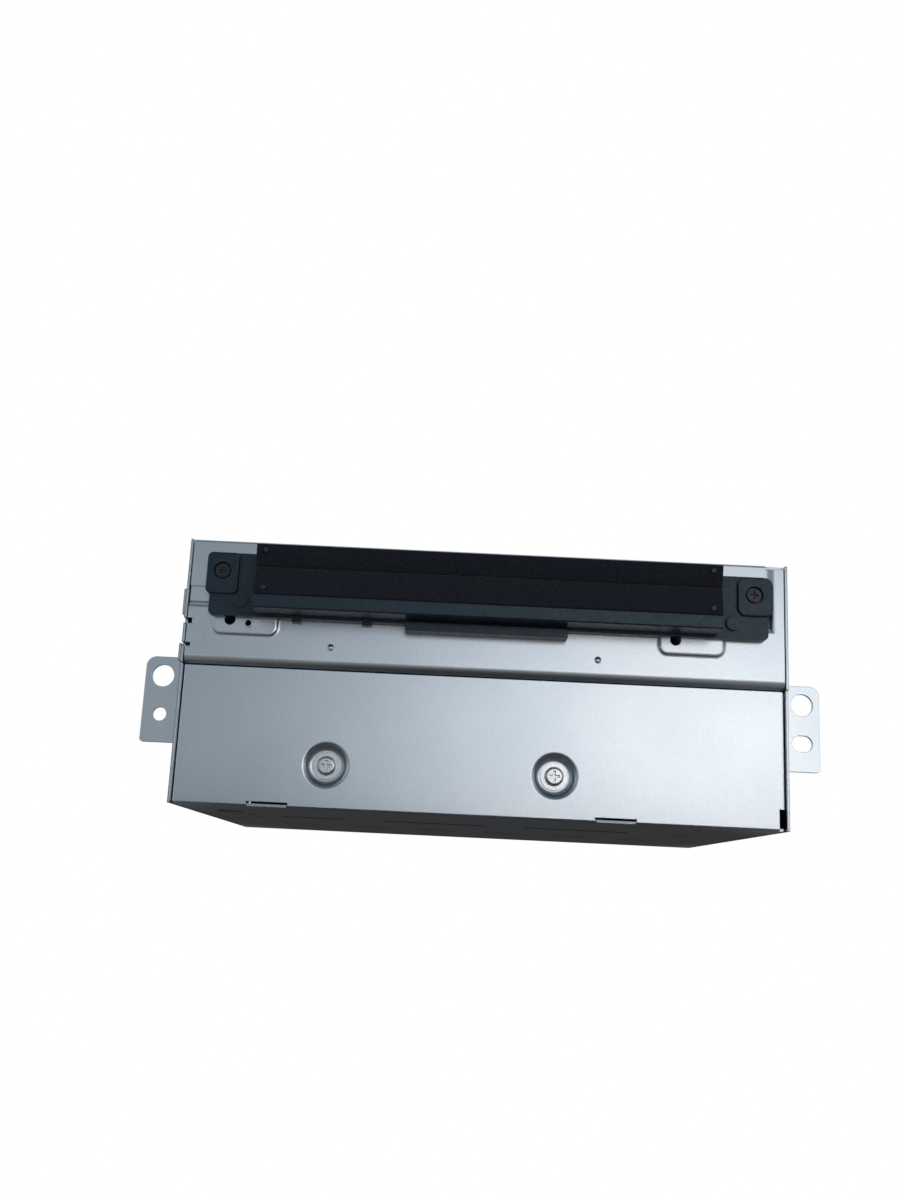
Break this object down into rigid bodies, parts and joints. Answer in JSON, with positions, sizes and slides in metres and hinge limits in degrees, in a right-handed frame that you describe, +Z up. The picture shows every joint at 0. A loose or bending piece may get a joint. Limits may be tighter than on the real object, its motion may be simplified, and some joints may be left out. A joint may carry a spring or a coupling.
{
  "type": "disc changer",
  "caption": "Slot-loading car disc changer: folded steel case with a felt-lipped bezel and mounting ears, holding a sprung mechanism of stacked trays and a swinging pickup arm.",
  "frame": {"origin": "middle of the underside of the case, between its left and right sides and its front and rear panels", "axes": "+X to the right seen from the front, +Y from the front to the rear, +Z up as fitted in the car"},
  "size_m": [0.2044, 0.1662, 0.0779],
  "materials": {
    "zinc_steel": "zinc-coated sheet, satin, faint spangle",
    "bright_screw": "nickel-plated",
    "black_screw": "black zinc",
    "black_plastic": "fine moulded texture",
    "black_felt": "short dense nap",
    "board_green": "solder mask",
    "component_black": "moulded packages",
    "connector_plastic": "satin",
    "pin_brass": "gold flash",
    "black_rubber": "soft",
    "spring_steel": "drawn wire",
    "polished_steel": "ground",
    "motor_can": "drawn can",
    "gear_plastic": "natural acetal",
    "mech_plastic": "moulded",
    "tray_aluminium": "stamped sheet",
    "lens_glass": "coated lens in its holder"
  },
  "bodies": {
    "case": {"bottom_tray": "zinc_steel", "front_plate": "zinc_steel", "side_plate_left": "zinc_steel", "side_plate_right": "zinc_steel", "rear_panel": "zinc_steel", "top_cover": "zinc_steel", "mount_ear_left": "zinc_steel", "mount_ear_right": "zinc_steel", "corner_brackets": "zinc_steel", "bezel_base": "black_plastic", "felt_holder": "black_plastic", "felt_upper": "black_felt", "felt_lower": "black_felt", "bezel_screws": "black_screw", "panel_screws": "bright_screw", "case_screws": "bright_screw", "board_bracket": "zinc_steel", "main_board": "board_green", "board_screws": "bright_screw", "board_components": "component_black", "rear_connector": "connector_plastic", "connector_pins": "pin_brass", "damper_cups": "black_rubber", "float_springs": "spring_steel"},
    "mechanism": {"mech_chassis": "zinc_steel", "mech_roof": "zinc_steel", "pivot_shaft": "polished_steel", "gear_motors": "motor_can", "loading_motor": "motor_can"},
    "roller": {"loading_roller": "black_rubber", "roller_shaft": "polished_steel", "roller_gear": "gear_plastic"},
    "loading_idler": {"loading_idler_gear": "gear_plastic"},
    "loading_pinion": {"loading_pinion": "gear_plastic"},
    "disc_guide": {"upper_disc_guide": "mech_plastic"},
    "ring_gear": {"lift_ring_gear": "gear_plastic"},
    "idler_front_left": {"lift_idler_front_left": "gear_plastic"},
    "idler_front_right": {"lift_idler_front_right": "gear_plastic"},
    "idler_rear_right": {"lift_idler_rear_right": "gear_plastic"},
    "screw_front_left": {"lift_screw_front_left": "polished_steel"},
    "screw_front_right": {"lift_screw_front_right": "polished_steel"},
    "screw_rear_right": {"lift_screw_rear_right": "polished_steel"},
    "lift_pinion": {"lift_pinion": "gear_plastic"},
    "stowed_tray": {"disc_tray_1": "tray_aluminium"},
    "load_tray": {"disc_tray_2": "tray_aluminium"},
    "waiting_trays": {"disc_tray_3": "tray_aluminium", "disc_tray_4": "tray_aluminium", "disc_tray_5": "tray_aluminium", "disc_tray_6": "tray_aluminium"},
    "swing_fork": {"swing_fork": "tray_aluminium"},
    "swing_pinion": {"swing_pinion": "gear_plastic"},
    "traverse": {"traverse_deck": "mech_plastic", "guide_rail": "polished_steel", "sled_motor": "motor_can", "spindle_motor": "motor_can"},
    "turntable": {"turntable": "mech_plastic"},
    "clamp_puck": {"clamp_puck": "mech_plastic"},
    "pickup": {"pickup_body": "mech_plastic"},
    "lens": {"objective_lens": "lens_glass"},
    "sled_screw": {"sled_screw": "polished_steel"}
  },
  "joints": [
    {"name": "mech_float", "type": "slide", "parent": "case", "child": "mechanism", "axis": [0, 0, 1], "range_m": [-0.0015, 0.0015], "stiffness_N_per_m": 3400, "springref_m": 0.00155, "deforming": ["float_springs"]},
    {"name": "roller_spin", "type": "hinge", "parent": "mechanism", "child": "roller", "pos_m": [0, -0.066, 0.063], "axis": [1, 0, 0], "continuous": true},
    {"name": "loading_idler_spin", "type": "hinge", "parent": "mechanism", "child": "loading_idler", "pos_m": [0.06, -0.06413, 0.0542], "axis": [1, 0, 0], "continuous": true},
    {"name": "loading_pinion_spin", "type": "hinge", "parent": "mechanism", "child": "loading_pinion", "pos_m": [0.06, -0.06063, 0.04813], "axis": [1, 0, 0], "continuous": true},
    {"name": "disc_guide_tilt", "type": "hinge", "parent": "mechanism", "child": "disc_guide", "pos_m": [0, -0.0688, 0.071], "axis": [1, 0, 0], "range_deg": [0, 4], "stiffness_Nm_per_rad": 0.02, "springref_deg": -5.73},
    {"name": "lift_ring_turn", "type": "hinge", "parent": "mechanism", "child": "ring_gear", "pos_m": [0, 0.001, 0.0365], "axis": [0, 0, 1], "range_deg": [0, 49.5]},
    {"name": "idler_turn_front_left", "type": "hinge", "parent": "mechanism", "child": "idler_front_left", "pos_m": [-0.05597, -0.0468, 0.0365], "axis": [0, 0, 1], "range_deg": [-331, 1]},
    {"name": "idler_turn_front_right", "type": "hinge", "parent": "mechanism", "child": "idler_front_right", "pos_m": [0.05597, -0.0468, 0.0365], "axis": [0, 0, 1], "range_deg": [-331, 1]},
    {"name": "idler_turn_rear_right", "type": "hinge", "parent": "mechanism", "child": "idler_rear_right", "pos_m": [0.05597, 0.0488, 0.0365], "axis": [0, 0, 1], "range_deg": [-331, 1]},
    {"name": "lift_screw_turn_front_left", "type": "hinge", "parent": "mechanism", "child": "screw_front_left", "pos_m": [-0.06996, -0.05875, 0.0365], "axis": [0, 0, 1], "range_deg": [-1, 361]},
    {"name": "lift_screw_turn_front_right", "type": "hinge", "parent": "mechanism", "child": "screw_front_right", "pos_m": [0.06996, -0.05875, 0.0365], "axis": [0, 0, 1], "range_deg": [-1, 361]},
    {"name": "lift_screw_turn_rear_right", "type": "hinge", "parent": "mechanism", "child": "screw_rear_right", "pos_m": [0.06996, 0.06075, 0.0365], "axis": [0, 0, 1], "range_deg": [-1, 361]},
    {"name": "lift_pinion_turn", "type": "hinge", "parent": "mechanism", "child": "lift_pinion", "pos_m": [0.0704, 0.001, 0.0365], "axis": [0, 0, 1], "range_deg": [-496, 1]},
    {"name": "stowed_tray_drop", "type": "slide", "parent": "mechanism", "child": "stowed_tray", "axis": [0, 0, -1], "range_m": [0, 0.00561]},
    {"name": "load_tray_drop", "type": "slide", "parent": "mechanism", "child": "load_tray", "axis": [0, 0, -1], "range_m": [0, 0.01881]},
    {"name": "waiting_trays_drop", "type": "slide", "parent": "mechanism", "child": "waiting_trays", "axis": [0, 0, -1], "range_m": [0, 0.00201]},
    {"name": "fork_swing", "type": "hinge", "parent": "mechanism", "child": "swing_fork", "pos_m": [-0.074, 0.057, 0.0365], "axis": [0, 0, -1], "range_deg": [-52.88, 0]},
    {"name": "swing_pinion_turn", "type": "hinge", "parent": "mechanism", "child": "swing_pinion", "pos_m": [-0.06312, 0.05193, 0.0365], "axis": [0, 0, -1], "range_deg": [-1, 106.77]},
    {"name": "deck_lift", "type": "slide", "parent": "swing_fork", "child": "traverse", "axis": [0, 0, 1], "range_m": [0, 0.0036]},
    {"name": "turntable_spin", "type": "hinge", "parent": "traverse", "child": "turntable", "pos_m": [-0.074, -0.0358, 0.063], "axis": [0, 0, 1], "continuous": true},
    {"name": "clamp_puck_spin", "type": "hinge", "parent": "swing_fork", "child": "clamp_puck", "pos_m": [-0.074, -0.0358, 0.07], "axis": [0, 0, 1], "continuous": true},
    {"name": "pickup_slide", "type": "slide", "parent": "traverse", "child": "pickup", "axis": [0, 1, 0], "range_m": [0, 0.034]},
    {"name": "sled_screw_turn", "type": "hinge", "parent": "traverse", "child": "sled_screw", "pos_m": [-0.066, -0.0118, 0.0602], "axis": [0, 1, 0], "range_deg": [-1, 4081]},
    {"name": "lens_focus", "type": "slide", "parent": "pickup", "child": "lens", "axis": [0, 0, 1], "range_m": [-0.0005, 0.0005], "stiffness_N_per_m": 60, "springref_m": 0.00003}
  ],
  "couplings": [
    {"joint": "loading_idler_spin", "follows": "roller_spin", "ratio": -1.25},
    {"joint": "loading_pinion_spin", "follows": "roller_spin", "ratio": 1.6667},
    {"joint": "idler_turn_front_left", "follows": "lift_ring_turn", "ratio": -6.6667},
    {"joint": "idler_turn_front_right", "follows": "lift_ring_turn", "ratio": -6.6667},
    {"joint": "idler_turn_rear_right", "follows": "lift_ring_turn", "ratio": -6.6667},
    {"joint": "lift_screw_turn_front_left", "follows": "lift_ring_turn", "ratio": 7.2727},
    {"joint": "lift_screw_turn_front_right", "follows": "lift_ring_turn", "ratio": 7.2727},
    {"joint": "lift_screw_turn_rear_right", "follows": "lift_ring_turn", "ratio": 7.2727},
    {"joint": "lift_pinion_turn", "follows": "lift_ring_turn", "ratio": -10},
    {"joint": "stowed_tray_drop", "follows": "lift_ring_turn", "m_per_rad": 0.0064819},
    {"joint": "load_tray_drop", "follows": "lift_ring_turn", "m_per_rad": 0.021761},
    {"joint": "waiting_trays_drop", "follows": "lift_ring_turn", "m_per_rad": 0.002315},
    {"joint": "swing_pinion_turn", "follows": "fork_swing", "ratio": -2},
    {"joint": "clamp_puck_spin", "follows": "turntable_spin", "ratio": 1},
    {"joint": "sled_screw_turn", "follows": "pickup_slide", "rad_per_m": 2094.4}
  ]
}
